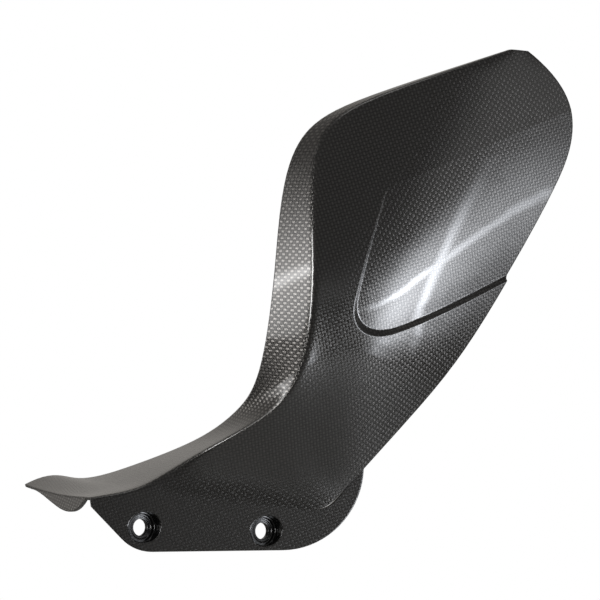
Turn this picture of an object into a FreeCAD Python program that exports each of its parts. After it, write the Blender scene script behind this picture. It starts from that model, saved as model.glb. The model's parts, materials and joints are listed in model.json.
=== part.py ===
import FreeCAD, Part
import math
import os

from FreeCAD import Placement, Rotation, Vector

os.makedirs("parts", exist_ok=True)
doc = FreeCAD.newDocument("rear_hugger")
sheet = doc.addObject("Spreadsheet::Sheet", "Sizes")

# Driving sizes, in millimetres and degrees
# X runs along the swingarm towards the tail, Y away from the outer side, Z up.
SIZES = {
    "laminate": 2.0,
    "ridge_round": 5.0,
    "plate_foot": 15.5,
    "heel_run": 28.0,
    "heel_trim": 12.0,
    "plate_tail_round": 52.0,
    "slit_kerf": 0.8,
    "slit_sections": 2.0,
    "seat_depth": 3.9,
    "seat_floor": 4.0,
    "seat_wall": 2.2,
    "seat_recess": 19.5,
    "seat_bore": 10.6,
    "seat_step": 14.4,
    "seat_step_depth": 0.9,
    "seat_yaw": 22.0,
    "seat_pitch": 8.0,
    "bolt_spacing": 79.0,
    "bolt_drop": 3.0,
    "lip_start": 9.0,
    "lip_low": 30.0,
    "lip_end": 108.0,
    "lip_drop": 9.0,
    "scoop_depth": 4.2,
    "scoop_x": 102.5,
    "scoop_z": 108.5,
    "scoop_y": -60.5,
    "scoop_foot_tilt": 12.3,
    "scoop_side_tilt": 2.0,
    "scoop_foot_rise": 23.8,
    "scoop_side_rise": 75.0,
    "scoop_foot_slope": 42.0,
    "scoop_side_slope": 56.0,
    "scoop_round": 28.0,
    "scoop_fade_up": 88.0,
}

# Cross-sections from the front lip to the tail tip. Each has the step to its
# ridge point from the one before, the way from the ridge to the face's lower
# edge, the way from the ridge to the strip's free edge, and three bows: of the
# face near the ridge, of the face far from it, and of the strip.
SECTIONS = [
    ("lip", (-35, 0, 19), (1, 0, -6), (-26, 120, -10), 0.0, 0.0, -3.0),
    ("brow", (21, 0, 3), (6, 0, -12), (-26, 131, -4), 0.0, 0.0, -5.0),
    ("fold", (14, 0, 4), (10, 0, -14), (-26, 133, -20), 0.0, 0.0, -2.0),
    ("toe", (22, -1, 15), (22, 0, -28), (-8, 112, -17), 0.0, 0.0, 0.0),
    ("shin", (23, -12, 16), (43, 0, -43), (2, 62, -7), -1.0, 0.0, 0.0),
    ("knee", (21, -19, 16), (49, 0, -65), (-8, 34, 1), -6.0, 4.0, 0.0),
    ("heel", (12, -10, 14), (48, 0, -68), (-16, 28, 0), -4.0, 8.0, 0.0),
    ("calf", (6, -8, 16), (56, 44, -66), (-20, 24, 0), -1.0, 2.0, 0.0),
    ("leg", (3, -7, 25), (79, 43, -58), (-21, 24, 0), 6.0, 8.0, 0.0),
    ("mast", (-1, -5, 38), (110, 37, -56), (-18, 25, 0), 13.0, 12.0, 0.0),
    ("neck", (-2, 8, 46), (143, 22, -44), (-14, 20, 1), 16.0, 18.0, 0.0),
    ("shoulder", (5, 9, 42), (164, 8, -32), (-8, 12, 0), 15.0, 15.0, 0.0),
    ("back", (34, -4, 20), (145, 12, -12), (-2, 11, 0), 9.0, 9.0, 0.0),
    ("tail", (50, -3, 19), (79, 10, -1), (-1, 9, 0), 3.0, 2.0, 0.0),
    ("tip", (39, 5, 15), (13, 2, 0), (0, 4, 0), 0.5, 0.5, 0.0),
]
FLAT_SECTIONS = 7
SLIT_STATIONS = 4

# Depth of the lip's hem, as shares of lip_drop, from its far end to the plate.
HEM_SHARES = (0.1, 0.6, 1.0, 0.1)
EDGE_STEP = 1e-6

# Roughly from the outer side to the tyre, to tell the skin's two sides apart.
TYRE_WAY = Vector(0.2, 1, -0.5)

row = 1
for alias, value in SIZES.items():
    sheet.set("A%d" % row, str(value))
    sheet.setAlias("A%d" % row, alias)
    row += 1
for name, step, face, strip, near_bow, far_bow, strip_bow in SECTIONS:
    cells = {"near_bow": near_bow, "far_bow": far_bow, "strip_bow": strip_bow}
    for kind, vector in (("step", step), ("face", face), ("strip", strip)):
        for axis, value in zip("xyz", vector):
            cells["%s_%s" % (kind, axis)] = value
    for alias, value in cells.items():
        sheet.set("A%d" % row, str(float(value)))
        sheet.setAlias("A%d" % row, "%s_%s" % (name, alias))
        row += 1
doc.recompute()


def size(alias):
    return float(sheet.get(alias))


def way(name, kind):
    return Vector(*(size("%s_%s_%s" % (name, kind, axis)) for axis in "xyz"))


# Skin
# One bicubic sheet runs over all sections: the strip's free edge, the rounded
# ridge and the face. Up to the slit its lower edge lies in the plate's plane.
DEGREE = 3


def section_poles():
    net = []
    ridge = Vector(0, 0, 0)
    fold = size("ridge_round")
    for index, section in enumerate(SECTIONS):
        name = section[0]
        in_plate = index < FLAT_SECTIONS
        ridge = ridge + way(name, "step")
        strip = way(name, "strip")
        edge = ridge + way(name, "face")
        if in_plate:
            edge.y = 0
        face = edge - ridge
        near = ridge + face / 3 - Vector(0, size(name + "_near_bow"), 0)
        far = ridge + face * (2 / 3) - Vector(0, size(name + "_far_bow"), 0)
        if in_plate:
            far.y = -size(name + "_far_bow")
        strip_way = Vector(strip).normalize()
        face_way = Vector(near - ridge).normalize()
        net.append([
            ridge + strip,
            ridge + strip / 2 + Vector(0, 0, size(name + "_strip_bow")),
            ridge + strip_way * fold,
            ridge,
            ridge + face_way * min(fold, face.Length / 4),
            near,
            far,
            edge,
        ])
    return net


def clamped_knots(count):
    spans = count - DEGREE
    knots = [float(i) for i in range(spans + 1)]
    return knots, [DEGREE + 1] + [1] * (spans - 1) + [DEGREE + 1]


def skin_surface(net):
    u_knots, u_mults = clamped_knots(len(net))
    v_knots, v_mults = clamped_knots(len(net[0]))
    surface = Part.BSplineSurface()
    surface.buildFromPolesMultsKnots(net, u_mults, v_mults, u_knots, v_knots, False, False, DEGREE, DEGREE)
    return surface


def station(index, count):
    """The place on a clamped spline of count poles that pole index pulls at most."""
    knots, mults = clamped_knots(count)
    flat_knots = [knot for knot, mult in zip(knots, mults) for _ in range(mult)]
    return sum(flat_knots[index + 1:index + DEGREE + 1]) / DEGREE


def inward_net(net, depth):
    """The same net moved in by depth along the skin's own normals."""
    surface = skin_surface(net)
    moved_net = []
    for i, line in enumerate(net):
        u = station(i, len(net))
        moved_line = []
        for j, pole in enumerate(line):
            if i < FLAT_SECTIONS and j >= len(line) - 2:
                inward = Vector(0, 1, 0)
            else:
                inward = surface.normal(u, station(j, len(line)))
                if inward.dot(TYRE_WAY) < 0:
                    inward = inward * -1
            moved_line.append(pole + inward * depth)
        moved_net.append(moved_line)
    return moved_net


laminate = size("laminate")
outer_net = section_poles()
middle_net = inward_net(outer_net, laminate / 2)
inner_net = inward_net(outer_net, laminate)
outer = skin_surface(outer_net)
inner = skin_surface(inner_net)
u_slit = float(FLAT_SECTIONS - DEGREE)
u_end = float(len(outer_net) - DEGREE)
v_end = float(len(outer_net[0]) - DEGREE)


def patch(surface, u_from, u_to):
    piece = surface.copy()
    piece.segment(u_from, u_to, 0.0, v_end)
    return piece


# Plate
# The flat lower panel hangs from the skin's edge up to the slit. Beyond it the
# face's own edge runs free, a saw cut in front of the plate's tail.
def plate_outline():
    """The plate's free outline on its outer plane, from the front edge to the slit's start."""
    start = outer.value(0.0, v_end)
    foot = -size("plate_foot")
    slit = [outer.value(u_slit, v_end)]
    for count in range(1, SLIT_STATIONS + 1):
        u = u_slit + size("slit_sections") * count / SLIT_STATIONS
        point = outer.value(u, v_end)
        along = outer.vIso(v_end).tangent(u)[0]
        out = Vector(along.z, 0, -along.x).normalize()
        slit.append(Vector(point.x, 0, point.z) + out * size("slit_kerf"))
    end = slit[-1]
    tail_round = size("plate_tail_round")
    tail_inset = tail_round * (1 - math.sqrt(0.5))
    heel = Vector(start.x + size("heel_run"), 0, foot)
    trim = size("heel_trim")
    heel_start = heel + Vector(start - heel).normalize() * trim
    heel_end = heel + Vector(trim, 0, 0)
    tail_start = Vector(end.x - tail_round, 0, foot)
    tail_middle = Vector(end.x - tail_inset, 0, foot + tail_inset)
    tail_end = Vector(end.x, 0, foot + tail_round)
    heel_curve = Part.BezierCurve()
    heel_curve.setPoles([heel_start, heel, heel_end])
    slit_curve = Part.BSplineCurve()
    slit_curve.interpolate(list(reversed(slit)))
    return [
        Part.LineSegment(start, heel_start).toShape(),
        heel_curve.toShape(),
        Part.LineSegment(heel_end, tail_start).toShape(),
        Part.Arc(tail_start, tail_middle, tail_end).toShape(),
        Part.LineSegment(tail_end, end).toShape(),
        slit_curve.toShape(),
    ]


def moved(edges, offset):
    copies = [edge.copy() for edge in edges]
    for edge in copies:
        edge.translate(offset)
    return copies


def rim_wall(outside, inside):
    """The straight wall across the laminate between two edges, whichever way they run."""
    return min((Part.makeRuledSurface(outside, edge) for edge in (inside, inside.reversed())),
               key=lambda wall: wall.Area)


low_out, high_out = patch(outer, 0.0, u_slit), patch(outer, u_slit, u_end)
low_in, high_in = patch(inner, 0.0, u_slit), patch(inner, u_slit, u_end)
outline = plate_outline()
outline_in = moved(outline, Vector(0, laminate, 0))
rims = [
    (low_out.vIso(0.0).toShape(), low_in.vIso(0.0).toShape()),
    (high_out.vIso(0.0).toShape(), high_in.vIso(0.0).toShape()),
    (low_out.uIso(0.0).toShape(), low_in.uIso(0.0).toShape()),
    (high_out.uIso(u_end).toShape(), high_in.uIso(u_end).toShape()),
    (high_out.vIso(v_end).toShape(), high_in.vIso(v_end).toShape()),
]
rims.extend(zip(outline, outline_in))
faces = [surface.toShape() for surface in (low_out, high_out, low_in, high_in)]
faces.extend(rim_wall(outside, inside) for outside, inside in rims)
for skin, free_edges in ((low_out, outline), (low_in, outline_in)):
    join = skin.vIso(v_end).toShape()
    faces.append(Part.Face(Part.Wire(Part.__sortEdges__(free_edges + [join]))))
walls = Part.makeCompound(faces)
walls.sewShape()
sheet_body = doc.addObject("Part::Feature", "laminate")
sheet_body.Shape = Part.makeSolid(walls.Shells[0])

# Scoop
# A shallow hollow pressed into the face. Its floor is the skin itself, sunk by
# an amount that changes evenly across the face; its two walls are drafted.
foot_rise = math.radians(size("scoop_foot_rise"))
side_rise = math.radians(size("scoop_side_rise"))
foot_along = Vector(math.cos(foot_rise), 0, math.sin(foot_rise))
foot_up = Vector(-math.sin(foot_rise), 0, math.cos(foot_rise))
scoop_corner = Vector(size("scoop_x"), size("scoop_y"), size("scoop_z"))
clear = size("bolt_spacing")
reach = 4 * clear


def scoop_sink(point):
    """Depth of the floor: deepest at the foot, level with the skin where it fades out."""
    up = (point - scoop_corner).dot(foot_up)
    return size("scoop_depth") * (1 - up / size("scoop_fade_up"))


def sunk_floor(net):
    sunk = skin_surface([[pole + Vector(0, scoop_sink(pole), 0) for pole in line] for line in net])
    return patch(sunk, u_slit, u_end).toShape()


def wall_block(name, rise, tilt, slope, inside, grow):
    """A block whose lower face is a wall of the scoop, leaned back by its draft and moved out by grow."""
    along = Vector(math.cos(rise), math.tan(math.radians(tilt)), math.sin(rise)).normalize()
    inwards = Vector(-math.sin(rise), 0, math.cos(rise)) * inside
    lean = math.radians(slope)
    up_wall = inwards * math.cos(lean) + Vector(0, math.sin(lean), 0)
    out = along.cross(up_wall).normalize()
    if out.y > 0:
        out = out * -1
    across = out.cross(along)
    block = doc.addObject("Part::Box", name)
    block.Length, block.Width, block.Height = 2 * reach, 2 * reach, reach
    turn = Rotation(along, across, out, "ZXY")
    block.Placement = Placement(scoop_corner - out * grow - (along + across) * reach, turn)
    return block


def fade_block(name):
    """A block whose top ends the scoop past its fade line, where the sunk skin is still in the laminate."""
    past_fade = size("scoop_fade_up") * (1 + laminate / (4 * size("scoop_depth")))
    inwards = Vector(0, 1, 0)
    block = doc.addObject("Part::Box", name)
    block.Length, block.Width, block.Height = 2 * reach, 2 * reach, reach
    base = scoop_corner + foot_up * (past_fade - reach) - (foot_along + inwards) * reach
    block.Placement = Placement(base, Rotation(foot_along, inwards, foot_up, "ZXY"))
    return block


def scoop_wedge(name, grow):
    """The space between both drafted walls, its corner rounded."""
    blocks = [
        wall_block(name + "_foot", foot_rise, size("scoop_foot_tilt"), size("scoop_foot_slope"), 1, grow),
        wall_block(name + "_side", side_rise, size("scoop_side_tilt"), size("scoop_side_slope"), -1, grow),
        fade_block(name + "_fade"),
    ]
    wedge = doc.addObject("Part::MultiCommon", name + "_wedge")
    wedge.Shapes = blocks
    doc.recompute()
    corner = Part.Vertex(scoop_corner)
    valley = min(range(len(wedge.Shape.Edges)), key=lambda k: wedge.Shape.Edges[k].distToShape(corner)[0])
    rounded = doc.addObject("Part::Fillet", name + "_rounded")
    rounded.Base = wedge
    radius = size("scoop_round") + grow
    rounded.Edges = [(valley + 1, radius, radius)]
    return rounded


hollow_wedge = scoop_wedge("hollow", 0.0)
pan_wedge = scoop_wedge("pan", laminate)
hollow = doc.addObject("Part::Feature", "scoop_space")
hollow.Shape = sunk_floor(outer_net).extrude(Vector(0, -clear, 0))
pan_back = doc.addObject("Part::Feature", "scoop_back")
pan_back.Shape = sunk_floor(inner_net).extrude(Vector(0, -clear, 0))
behind_skin = doc.addObject("Part::Feature", "behind_skin")
behind_skin.Shape = patch(skin_surface(middle_net), u_slit, u_end).toShape().extrude(Vector(0, clear, 0))
scoop_hollow = doc.addObject("Part::MultiCommon", "scoop_hollow")
scoop_hollow.Shapes = [hollow, hollow_wedge]
scoop_pan = doc.addObject("Part::MultiCommon", "scoop_pan")
scoop_pan.Shapes = [pan_back, behind_skin, pan_wedge]

# Lip flange
# A narrow hem turned down from the front edge of the shelf, deepest near the
# plate and running out to nothing at the far tip.
front_edge = skin_surface(middle_net).uIso(0.0)


def front_edge_at(depth):
    """The front edge's parameter at a distance behind the outer side, found by halving."""
    low, high = front_edge.FirstParameter, v_end
    while high - low > EDGE_STEP:
        middle = (low + high) / 2
        if front_edge.value(middle).y > depth:
            low = middle
        else:
            high = middle
    return low


hem_depths = (size("lip_end"), (size("lip_low") + size("lip_end")) / 2, size("lip_low"), size("lip_start"))
hem = []
for depth, share in zip(hem_depths, HEM_SHARES):
    hem.append(front_edge.value(front_edge_at(depth)) - Vector(0, 0, size("lip_drop") * share))
hem_curve = Part.BSplineCurve()
hem_curve.interpolate(hem)
top_edge = front_edge.toShape(front_edge_at(size("lip_end")), front_edge_at(size("lip_start")))
lip_flange = doc.addObject("Part::Feature", "lip_flange")
lip_flange.Shape = Part.makeRuledSurface(top_edge, hem_curve.toShape()).extrude(Vector(laminate, 0, 0))

# Bolt seats
# A boss behind the plate carries each seat: a slanted recess with a shallow
# step round its bore, cut in from the outer side.
yaw, pitch = math.radians(size("seat_yaw")), math.radians(size("seat_pitch"))
seat_axis = Vector(math.sin(yaw) * math.cos(pitch), -math.cos(yaw) * math.cos(pitch), math.sin(pitch))
seat_turn = Rotation(Vector(0, 0, 1), seat_axis)
seats = {
    "front": Vector(0, 0, 0),
    "rear": Vector(size("bolt_spacing"), 0, -size("bolt_drop")),
}
behind_plate = doc.addObject("Part::Box", "behind_plate")
behind_plate.setExpression("Length", "4 * Sizes.bolt_spacing")
behind_plate.setExpression("Width", "Sizes.bolt_spacing")
behind_plate.setExpression("Height", "2 * Sizes.bolt_spacing")
behind_plate.Placement = Placement(Vector(-2, 0, -1) * size("bolt_spacing"), Rotation())


def seat_cylinder(name, centre, start, diameter, length):
    """A cylinder on the seat's axis; start is how far out of the recess floor it begins."""
    cylinder = doc.addObject("Part::Cylinder", name)
    cylinder.setExpression("Radius", "(%s) / 2" % diameter)
    cylinder.setExpression("Height", length)
    base = centre + seat_axis * (start - size("seat_depth"))
    cylinder.Placement = Placement(base, seat_turn)
    return cylinder


through = "2 * (Sizes.seat_depth + Sizes.seat_floor + Sizes.seat_recess)"
additions = [sheet_body, scoop_pan, lip_flange]
cuts = [scoop_hollow]
for name, centre in seats.items():
    boss = seat_cylinder(name + "_boss", centre, -size("seat_floor"),
                         "Sizes.seat_recess + 2 * Sizes.seat_wall", through)
    trimmed = doc.addObject("Part::MultiCommon", name + "_boss_trimmed")
    trimmed.Shapes = [boss, behind_plate]
    additions.append(trimmed)
    cuts.append(seat_cylinder(name + "_recess", centre, 0.0, "Sizes.seat_recess", through))
    cuts.append(seat_cylinder(name + "_step", centre, -size("seat_step_depth"), "Sizes.seat_step", through))
    cuts.append(seat_cylinder(name + "_bore", centre, -2 * size("seat_floor"), "Sizes.seat_bore", through))

# Whole shell
# The origin is the middle of the front seat's step, where its bore opens.
body = doc.addObject("Part::MultiFuse", "body")
body.Shapes = additions
tools = doc.addObject("Part::MultiFuse", "tools")
tools.Shapes = cuts
shell = doc.addObject("Part::Cut", "shell")
shell.Base = body
shell.Tool = tools
shell.Label = "hugger_shell"
shell.Placement = Placement(seat_axis * (size("seat_depth") + size("seat_step_depth")), Rotation())
doc.recompute()

for item in doc.Objects:
    if set(item.State) & {"Invalid", "Error"}:
        raise RuntimeError("%s failed: %s" % (item.Name, item.State))
    if hasattr(item, "Shape") and (item.Shape.isNull() or not item.Shape.isValid()):
        raise RuntimeError("%s has no valid shape" % item.Name)
if len(shell.Shape.Solids) != 1:
    raise RuntimeError("hugger_shell is not one solid")
shell.Shape.exportStep("parts/hugger_shell.step")
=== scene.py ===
"""A rear hugger mudguard: one shell of lacquered carbon cloth, seen on a plain white studio floor."""

import json
import math

import bmesh
import bpy
from mathutils import Matrix, Vector

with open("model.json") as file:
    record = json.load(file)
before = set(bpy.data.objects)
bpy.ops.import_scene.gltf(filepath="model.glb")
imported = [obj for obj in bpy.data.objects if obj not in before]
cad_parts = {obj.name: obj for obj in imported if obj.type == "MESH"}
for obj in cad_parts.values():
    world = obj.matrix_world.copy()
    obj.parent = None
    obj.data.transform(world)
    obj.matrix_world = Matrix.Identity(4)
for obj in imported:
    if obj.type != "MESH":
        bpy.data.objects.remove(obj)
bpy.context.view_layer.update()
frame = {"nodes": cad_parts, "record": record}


# Shell
# One laminate of plain-woven carbon tows in clear resin, laid up in a mould and
# lacquered to a high gloss. Its two bolt seats are bare black resin.
def linear(code):
    """Turns an sRGB hex colour into the linear one that a shader takes."""
    channels = [int(code[i:i + 2], 16) / 255 for i in (1, 3, 5)]
    return [c / 12.92 if c <= 0.04045 else ((c + 0.055) / 1.055) ** 2.4 for c in channels] + [1.0]


def add_node(tree, kind, inputs=(), **settings):
    """Adds a node; inputs are (socket, value or another node's output) pairs."""
    node = tree.nodes.new(kind)
    for name, value in settings.items():
        setattr(node, name, value)
    for socket, value in inputs:
        if isinstance(value, bpy.types.NodeSocket):
            tree.links.new(value, node.inputs[socket])
        else:
            node.inputs[socket].default_value = value
    return node


# A Mix node has sockets of the same names for numbers, vectors and colours,
# so they are told apart by their places: two inputs and one output each.
FACTOR = 0
NUMBER_A, NUMBER_B, NUMBER = 2, 3, 0
VECTOR_A, VECTOR_B, VECTOR = 4, 5, 1
COLOUR_A, COLOUR_B, COLOUR = 6, 7, 2

lacquered_carbon = bpy.data.materials.new("lacquered_plain_weave_carbon")
lacquered_carbon.use_nodes = True
tree = lacquered_carbon.node_tree
tree.nodes.clear()
place = add_node(tree, "ShaderNodeTexCoord")
point = add_node(tree, "ShaderNodeSeparateXYZ", [(0, place.outputs["Object"])])
facing = add_node(tree, "ShaderNodeNewGeometry")
facing = add_node(tree, "ShaderNodeVectorMath", [(0, facing.outputs["Normal"])], operation="ABSOLUTE")
facing = add_node(tree, "ShaderNodeSeparateXYZ", [(0, facing.outputs[0])])

# The side's cloth is laid out along X and Z, the strip's along Y and Z, and
# the shelf's along X and Y. Each shows where the surface faces it the most.
not_strip = add_node(tree, "ShaderNodeMath", [
    (0, facing.outputs["Y"]), (1, facing.outputs["Z"])], operation="MAXIMUM")
on_strip = add_node(tree, "ShaderNodeMath", [
    (0, facing.outputs["X"]), (1, not_strip.outputs[0])], operation="GREATER_THAN")
not_shelf = add_node(tree, "ShaderNodeMath", [
    (0, facing.outputs["X"]), (1, facing.outputs["Y"])], operation="MAXIMUM")
on_shelf = add_node(tree, "ShaderNodeMath", [
    (0, facing.outputs["Z"]), (1, not_shelf.outputs[0])], operation="GREATER_THAN")

# Tows of 3K cloth are 2 mm wide. The cloth lies 17 degrees off level on the
# side, and square on the strip and shelf, where it was folded over the ridge.
TOW = 0.002
CLOTH_TURN = math.radians(17)
tows_a_metre = (1 / TOW, 1 / TOW, 1)
side_cloth = add_node(tree, "ShaderNodeCombineXYZ", [(0, point.outputs["X"]), (1, point.outputs["Z"])])
side_cloth = add_node(tree, "ShaderNodeMapping", [
    ("Vector", side_cloth.outputs[0]), ("Rotation", (0, 0, -CLOTH_TURN)), ("Scale", tows_a_metre)])
strip_cloth = add_node(tree, "ShaderNodeCombineXYZ", [(0, point.outputs["Y"]), (1, point.outputs["Z"])])
strip_cloth = add_node(tree, "ShaderNodeMapping", [
    ("Vector", strip_cloth.outputs[0]), ("Scale", tows_a_metre)])
shelf_cloth = add_node(tree, "ShaderNodeCombineXYZ", [(0, point.outputs["X"]), (1, point.outputs["Y"])])
shelf_cloth = add_node(tree, "ShaderNodeMapping", [
    ("Vector", shelf_cloth.outputs[0]), ("Scale", tows_a_metre)])
cloth = add_node(tree, "ShaderNodeMix", [
    (FACTOR, on_strip.outputs[0]), (VECTOR_A, side_cloth.outputs[0]), (VECTOR_B, strip_cloth.outputs[0])],
    data_type="VECTOR")
cloth = add_node(tree, "ShaderNodeMix", [
    (FACTOR, on_shelf.outputs[0]), (VECTOR_A, cloth.outputs[VECTOR]), (VECTOR_B, shelf_cloth.outputs[0])],
    data_type="VECTOR")

# Each square of the weave shows a weft tow where warp_or_weft is 1, and a
# warp tow where it is 0, in turn like a chessboard.
square = add_node(tree, "ShaderNodeVectorMath", [(0, cloth.outputs[VECTOR])], operation="FLOOR")
square = add_node(tree, "ShaderNodeSeparateXYZ", [(0, square.outputs[0])])
warp_or_weft = add_node(tree, "ShaderNodeMath", [
    (0, square.outputs["X"]), (1, square.outputs["Y"])], operation="ADD")
warp_or_weft = add_node(tree, "ShaderNodeMath", [(0, warp_or_weft.outputs[0]), (1, 2.0)],
                        operation="FLOORED_MODULO")

# A tow is round across its width, from edge to edge of its square, and flat
# along its length but for both ends, where it dives under its neighbours.
DIVE_SHARPNESS = 0.35
within = add_node(tree, "ShaderNodeVectorMath", [(0, cloth.outputs[VECTOR])], operation="FRACTION")
within = add_node(tree, "ShaderNodeSeparateXYZ", [(0, within.outputs[0])])
arch_x = add_node(tree, "ShaderNodeMath", [(0, within.outputs["X"]), (1, math.pi)], operation="MULTIPLY")
arch_x = add_node(tree, "ShaderNodeMath", [(0, arch_x.outputs[0])], operation="SINE")
arch_y = add_node(tree, "ShaderNodeMath", [(0, within.outputs["Y"]), (1, math.pi)], operation="MULTIPLY")
arch_y = add_node(tree, "ShaderNodeMath", [(0, arch_y.outputs[0])], operation="SINE")
across = add_node(tree, "ShaderNodeMix", [
    (FACTOR, warp_or_weft.outputs[0]), (NUMBER_A, arch_y.outputs[0]), (NUMBER_B, arch_x.outputs[0])])
along = add_node(tree, "ShaderNodeMix", [
    (FACTOR, warp_or_weft.outputs[0]), (NUMBER_A, arch_x.outputs[0]), (NUMBER_B, arch_y.outputs[0])])
dive = add_node(tree, "ShaderNodeMath", [(0, along.outputs[NUMBER]), (1, DIVE_SHARPNESS)], operation="POWER")
height = add_node(tree, "ShaderNodeMath", [(0, across.outputs[NUMBER]), (1, dive.outputs[0])],
                  operation="MULTIPLY")

# Carbon fibre shines in a line across its length, so the two kinds of tow
# catch a lamp in two crossing streaks, each along its own fibres.
side_warp = (math.cos(CLOTH_TURN), 0, math.sin(CLOTH_TURN))
side_weft = (-math.sin(CLOTH_TURN), 0, math.cos(CLOTH_TURN))
side_fibres = add_node(tree, "ShaderNodeMix", [
    (FACTOR, warp_or_weft.outputs[0]), (VECTOR_A, side_warp), (VECTOR_B, side_weft)], data_type="VECTOR")
strip_fibres = add_node(tree, "ShaderNodeMix", [
    (FACTOR, warp_or_weft.outputs[0]), (VECTOR_A, (0, 1, 0)), (VECTOR_B, (0, 0, 1))], data_type="VECTOR")
shelf_fibres = add_node(tree, "ShaderNodeMix", [
    (FACTOR, warp_or_weft.outputs[0]), (VECTOR_A, (1, 0, 0)), (VECTOR_B, (0, 1, 0))], data_type="VECTOR")
fibres = add_node(tree, "ShaderNodeMix", [
    (FACTOR, on_strip.outputs[0]), (VECTOR_A, side_fibres.outputs[VECTOR]),
    (VECTOR_B, strip_fibres.outputs[VECTOR])], data_type="VECTOR")
fibres = add_node(tree, "ShaderNodeMix", [
    (FACTOR, on_shelf.outputs[0]), (VECTOR_A, fibres.outputs[VECTOR]),
    (VECTOR_B, shelf_fibres.outputs[VECTOR])], data_type="VECTOR")

# The folded strip and shelf are painted paler than the side, a painted light,
# with warp and weft further apart, a painted sheen. Their tows are rougher too.
SIDE_ROUGHNESS, FOLDED_ROUGHNESS = 0.29, 0.36
folded = add_node(tree, "ShaderNodeMath", [
    (0, on_strip.outputs[0]), (1, on_shelf.outputs[0])], operation="MAXIMUM")
# Painted sheen: on the side the weft tows are painted a shade paler than the warp, as if they caught the
# lamps.
side_carbon_and_painted_sheen = add_node(tree, "ShaderNodeMix", [
    (FACTOR, warp_or_weft.outputs[0]), (COLOUR_A, linear("#403f3d")), (COLOUR_B, linear("#4d4b49"))],
    data_type="RGBA")
# Painted light and sheen: on the folded strip and shelf the tows are painted far paler, the warp most of all.
folded_carbon_and_painted_light = add_node(tree, "ShaderNodeMix", [
    (FACTOR, warp_or_weft.outputs[0]), (COLOUR_A, linear("#787572")), (COLOUR_B, linear("#4b4947"))],
    data_type="RGBA")
carbon_and_painted_light = add_node(tree, "ShaderNodeMix", [
    (FACTOR, folded.outputs[0]), (COLOUR_A, side_carbon_and_painted_sheen.outputs[COLOUR]),
    (COLOUR_B, folded_carbon_and_painted_light.outputs[COLOUR])], data_type="RGBA")
tow_roughness = add_node(tree, "ShaderNodeMix", [
    (FACTOR, folded.outputs[0]), (NUMBER_A, SIDE_ROUGHNESS), (NUMBER_B, FOLDED_ROUGHNESS)])

# Between the tows the resin is deep and looks nearly black.
# The tows' colour here still carries the painted light and sheen set above.
carbon_resin_and_painted_light = add_node(tree, "ShaderNodeMix", [
    (FACTOR, height.outputs[0]), (COLOUR_A, linear("#252423")), (COLOUR_B, carbon_and_painted_light.outputs[COLOUR])],
    data_type="RGBA")

# The bolt seats are bare black resin, up to 9.9 mm from the bolt's axis, which
# is the rim of the recess. The record's mounts give the places and the axes.
SEAT_RADIUS = 0.0099
from_axes = []
for mount in frame["record"]["mounts"]:
    from_axis = add_node(tree, "ShaderNodeVectorMath", [(0, place.outputs["Object"]), (1, mount["pos_m"])],
                         operation="SUBTRACT")
    from_axis = add_node(tree, "ShaderNodeVectorMath", [(0, from_axis.outputs[0]), (1, mount["axis"])],
                         operation="CROSS_PRODUCT")
    from_axis = add_node(tree, "ShaderNodeVectorMath", [(0, from_axis.outputs[0])], operation="LENGTH")
    from_axes.append(from_axis.outputs["Value"])
nearest_axis = add_node(tree, "ShaderNodeMath", [(0, from_axes[0]), (1, from_axes[1])], operation="MINIMUM")
in_seat = add_node(tree, "ShaderNodeMath", [(0, nearest_axis.outputs[0]), (1, SEAT_RADIUS)],
                   operation="LESS_THAN")
colour = add_node(tree, "ShaderNodeMix", [
    (FACTOR, in_seat.outputs[0]), (COLOUR_A, carbon_resin_and_painted_light.outputs[COLOUR]), (COLOUR_B, linear("#0b0b0b"))],
    data_type="RGBA")

# Lacquer builds up over every trimmed edge and rounds it, so the edges carry
# a thin highlight. The tows stand 0.07 mm proud under the level lacquer.
EDGE_ROUNDING = 0.0012
TOW_RELIEF = 0.00007
rounded = add_node(tree, "ShaderNodeBevel", [("Radius", EDGE_ROUNDING)], samples=8)
relief = add_node(tree, "ShaderNodeBump", [
    ("Strength", 1.0), ("Distance", TOW_RELIEF), ("Height", height.outputs[0]),
    ("Normal", rounded.outputs[0])])

# Fibre gives a dark, satin, metal-like sheen in streaks, and the lacquer over
# it a sharp mirror of the lamps.
surface = add_node(tree, "ShaderNodeBsdfPrincipled", [
    ("Base Color", colour.outputs[COLOUR]), ("Metallic", 0.85), ("Roughness", tow_roughness.outputs[NUMBER]),
    ("Anisotropic", 0.8), ("Tangent", fibres.outputs[VECTOR]), ("Normal", relief.outputs[0]),
    ("Coat Weight", 1.0), ("Coat Roughness", 0.03), ("Coat IOR", 1.5), ("Coat Normal", rounded.outputs[0])])
add_node(tree, "ShaderNodeOutputMaterial", [("Surface", surface.outputs[0])])

shell = frame["nodes"]["hugger_shell"]
for slot in shell.material_slots:
    slot.material = lacquered_carbon

# Floor
# A sheet of matt white studio paper, a metre below the shell, which hangs
# from its bolt seat. Straight below the shell, the camera sees the lit paper
# with its shadow through the plain white a little.
FLOOR_Z = -1.0
FLOOR_WIDTH = 8.0
SHADOW_WITHIN, WHITE_BEYOND = 0.2, 0.6
WHITE_OVER_SHADOW = 0.85

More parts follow.
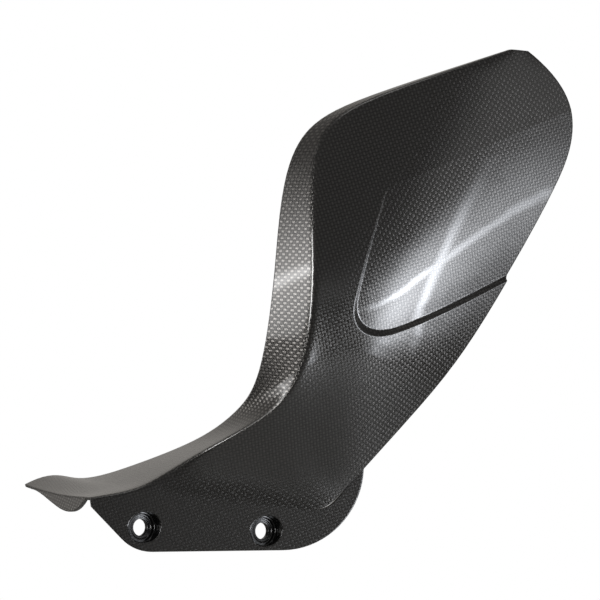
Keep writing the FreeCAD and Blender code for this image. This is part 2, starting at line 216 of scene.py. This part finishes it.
paper = bpy.data.materials.new("matt_white_paper")
paper.use_nodes = True
tree = paper.node_tree
tree.nodes.clear()
seen = add_node(tree, "ShaderNodeLightPath")
place = add_node(tree, "ShaderNodeTexCoord")
whiteness = add_node(tree, "ShaderNodeVectorMath", [(0, place.outputs["Object"])], operation="LENGTH")
whiteness = add_node(tree, "ShaderNodeMapRange", [
    ("Value", whiteness.outputs["Value"]), ("From Min", SHADOW_WITHIN), ("From Max", WHITE_BEYOND),
    ("To Min", WHITE_OVER_SHADOW), ("To Max", 1.0)])
whiteness = add_node(tree, "ShaderNodeMath", [
    (0, seen.outputs["Is Camera Ray"]), (1, whiteness.outputs[0])], operation="MULTIPLY")
lit = add_node(tree, "ShaderNodeBsdfDiffuse", [("Color", linear("#b4b3b0"))])
white = add_node(tree, "ShaderNodeEmission", [("Color", (1, 1, 1, 1)), ("Strength", 1.0)])
mixed = add_node(tree, "ShaderNodeMixShader", [
    (0, whiteness.outputs[0]), (1, lit.outputs[0]), (2, white.outputs[0])])
add_node(tree, "ShaderNodeOutputMaterial", [("Surface", mixed.outputs[0])])

floor_mesh = bpy.data.meshes.new("studio_floor")
sheet = bmesh.new()
bmesh.ops.create_grid(sheet, x_segments=1, y_segments=1, size=FLOOR_WIDTH / 2)
sheet.to_mesh(floor_mesh)
sheet.free()
floor_mesh.materials.append(paper)
floor = bpy.data.objects.new("studio_floor", floor_mesh)
floor.location = (0, 0, FLOOR_Z)
bpy.context.scene.collection.objects.link(floor)

# Room
# The camera sees plain white. The lacquer mirrors a dim room, whose wall
# behind the shell (+Y) is paler than the one in front of it.
FRONT_WALL_ENDS, BACK_WALL_STARTS = -0.2, 0.8

world = bpy.data.worlds.new("studio")
bpy.context.scene.world = world
world.use_nodes = True
tree = world.node_tree
tree.nodes.clear()
seen = add_node(tree, "ShaderNodeLightPath")
place = add_node(tree, "ShaderNodeTexCoord")
way = add_node(tree, "ShaderNodeSeparateXYZ", [(0, place.outputs["Generated"])])
behind = add_node(tree, "ShaderNodeMapRange", [
    ("Value", way.outputs["Y"]), ("From Min", FRONT_WALL_ENDS), ("From Max", BACK_WALL_STARTS)])
wall = add_node(tree, "ShaderNodeMix", [
    (FACTOR, behind.outputs[0]), (COLOUR_A, linear("#6d6c6b")), (COLOUR_B, linear("#979490"))],
    data_type="RGBA")
room = add_node(tree, "ShaderNodeBackground", [("Color", wall.outputs[COLOUR]), ("Strength", 1.0)])
white = add_node(tree, "ShaderNodeBackground", [("Color", (1, 1, 1, 1)), ("Strength", 1.0)])
mixed = add_node(tree, "ShaderNodeMixShader", [
    (0, seen.outputs["Is Camera Ray"]), (1, room.outputs[0]), (2, white.outputs[0])])
add_node(tree, "ShaderNodeOutputWorld", [("Surface", mixed.outputs[0])])

# Soft boxes
# Cloth-fronted lamps with a bright middle, 1.6 m from the shell's middle, where
# the photograph's highlights say. Two have a cross of bright seams: the scoop
# mirrors the right one's, and the strip the left one's.
SHELL_MIDDLE = Vector((0.13, -0.03, 0.15))
BOX_DISTANCE = 1.6
SEAM_WIDTH = 0.07
SEAM_BRIGHTNESS = 2.7


def soft_box(name, azimuth, elevation, size, watts, rim, spread, glow=(0, 0), offset=(0, 0), turn=0,
             seams=None, colour="#ffffff"):
    """Hangs one soft box; azimuth runs from the front (-Y) towards +X, and all angles are in degrees.

    In metres, as seen from behind the lamp: size is the front's width and height, offset how far
    it hangs to the right of that line and above it, rim the width in which its edge fades, glow
    and spread the place and the radius of its bright middle, and seams where the seams cross.
    turn rolls it.
    """
    bearing = math.radians(azimuth)
    rise = math.radians(elevation)
    outwards = Vector((math.sin(bearing) * math.cos(rise), -math.cos(bearing) * math.cos(rise),
                       math.sin(rise)))
    sideways = Vector((math.cos(bearing), math.sin(bearing), 0))
    upwards = outwards.cross(sideways)
    half = (size[0] / 2, size[1] / 2, 0)

    lamp = bpy.data.lights.new(name, "AREA")
    lamp.shape = "RECTANGLE"
    lamp.size = size[0]
    lamp.size_y = size[1]
    lamp.energy = watts
    lamp.color = linear(colour)[:3]
    lamp.use_nodes = True
    tree = lamp.node_tree
    tree.nodes.clear()
    front = add_node(tree, "ShaderNodeNewGeometry")
    front = add_node(tree, "ShaderNodeMapping", [
        ("Vector", front.outputs["Parametric"]), ("Scale", (size[0], size[1], 0)),
        ("Location", (-half[0], -half[1], 0))])

    bright = add_node(tree, "ShaderNodeVectorMath", [(0, front.outputs[0]), (1, (glow[0], glow[1], 0))],
                      operation="DISTANCE")
    bright = add_node(tree, "ShaderNodeMath", [(0, bright.outputs["Value"]), (1, 1 / spread)],
                      operation="MULTIPLY")
    bright = add_node(tree, "ShaderNodeMath", [(0, bright.outputs[0]), (1, 2.0)], operation="POWER")
    bright = add_node(tree, "ShaderNodeMath", [(0, math.exp(-1)), (1, bright.outputs[0])], operation="POWER")

    inside = add_node(tree, "ShaderNodeVectorMath", [(0, front.outputs[0])], operation="ABSOLUTE")
    inside = add_node(tree, "ShaderNodeVectorMath", [(0, half), (1, inside.outputs[0])], operation="SUBTRACT")
    inside = add_node(tree, "ShaderNodeSeparateXYZ", [(0, inside.outputs[0])])
    inside = add_node(tree, "ShaderNodeMath", [(0, inside.outputs["X"]), (1, inside.outputs["Y"])],
                      operation="MINIMUM")
    inside = add_node(tree, "ShaderNodeMapRange", [("Value", inside.outputs[0]), ("From Max", rim)],
                      interpolation_type="SMOOTHSTEP")
    shine = add_node(tree, "ShaderNodeMath", [(0, bright.outputs[0]), (1, inside.outputs[0])],
                     operation="MULTIPLY")

    if seams:
        seam = add_node(tree, "ShaderNodeVectorMath", [(0, front.outputs[0]), (1, (seams[0], seams[1], 0))],
                        operation="SUBTRACT")
        seam = add_node(tree, "ShaderNodeVectorMath", [(0, seam.outputs[0])], operation="ABSOLUTE")
        seam = add_node(tree, "ShaderNodeSeparateXYZ", [(0, seam.outputs[0])])
        seam = add_node(tree, "ShaderNodeMath", [(0, seam.outputs["X"]), (1, seam.outputs["Y"])],
                        operation="MINIMUM")
        seam = add_node(tree, "ShaderNodeMapRange", [
            ("Value", seam.outputs[0]), ("From Min", 0.0), ("From Max", SEAM_WIDTH),
            ("To Min", SEAM_BRIGHTNESS), ("To Max", 1.0)], interpolation_type="SMOOTHSTEP")
        shine = add_node(tree, "ShaderNodeMath", [(0, shine.outputs[0]), (1, seam.outputs[0])],
                         operation="MULTIPLY")
    light = add_node(tree, "ShaderNodeEmission", [("Strength", shine.outputs[0])])
    add_node(tree, "ShaderNodeOutputLight", [(0, light.outputs[0])])

    box = bpy.data.objects.new(name, lamp)
    bpy.context.scene.collection.objects.link(box)
    centre = SHELL_MIDDLE + outwards * BOX_DISTANCE + sideways * offset[0] + upwards * offset[1]
    facing_shell = Matrix((sideways, upwards, outwards)).transposed().to_4x4()
    rolled = Matrix.Rotation(math.radians(turn), 4, "Z")
    box.matrix_world = Matrix.Translation(centre) @ facing_shell @ rolled


soft_box("right_box", 52, -17, size=(1.5, 1.5), watts=84, rim=0.5, spread=0.46, glow=(-0.3, -0.16),
         offset=(0.08, 0.0), turn=28, seams=(0.0, 0.0), colour="#f4f8ff")
soft_box("left_box", -92, 0, size=(1.6, 1.46), watts=28, rim=0.05, spread=0.4, glow=(0.1, -0.45),
         offset=(0.0, 0.35), seams=(-0.15, -0.38))
soft_box("high_box", 46, 12, size=(1.6, 1.2), watts=2.6, rim=0.5, spread=0.8)
soft_box("front_left_box", -60, -2, size=(0.36, 0.9), watts=24, rim=0.1, spread=0.5)
soft_box("front_box", 15, -11, size=(1.0, 1.0), watts=0.6, rim=0.5, spread=0.4)
soft_box("top_box", -20, 65, size=(1.2, 0.8), watts=7.5, rim=0.3, spread=0.6)

# Camera
# At the photograph's angle: a little left of square-on, just above level and
# held slightly askew, with a long lens.
AZIMUTH, ELEVATION, ROLL = math.radians(16), math.radians(2), math.radians(2.3)
CAMERA_PLACE = (-0.19482, -1.02161, 0.18277)
SENSOR_WIDTH = 36.0
PHOTO_WIDTH_PIXELS = 600
FOCAL_LENGTH_PIXELS = 1660
ahead = Vector((math.sin(AZIMUTH) * math.cos(ELEVATION), math.cos(AZIMUTH) * math.cos(ELEVATION),
                -math.sin(ELEVATION)))
right = Vector((math.cos(AZIMUTH), -math.sin(AZIMUTH), 0))
up = right.cross(ahead)
rolled_right = math.cos(ROLL) * right + math.sin(ROLL) * up
rolled_up = math.cos(ROLL) * up - math.sin(ROLL) * right
lens = bpy.data.cameras.new("camera")
lens.sensor_width = SENSOR_WIDTH
lens.lens = SENSOR_WIDTH * FOCAL_LENGTH_PIXELS / PHOTO_WIDTH_PIXELS
camera = bpy.data.objects.new("camera", lens)
bpy.context.scene.collection.objects.link(camera)
aim = Matrix((rolled_right, rolled_up, -ahead)).transposed()
camera.matrix_world = Matrix.Translation(CAMERA_PLACE) @ aim.to_4x4()
bpy.context.scene.camera = camera

bpy.context.scene.view_settings.view_transform = "Standard"
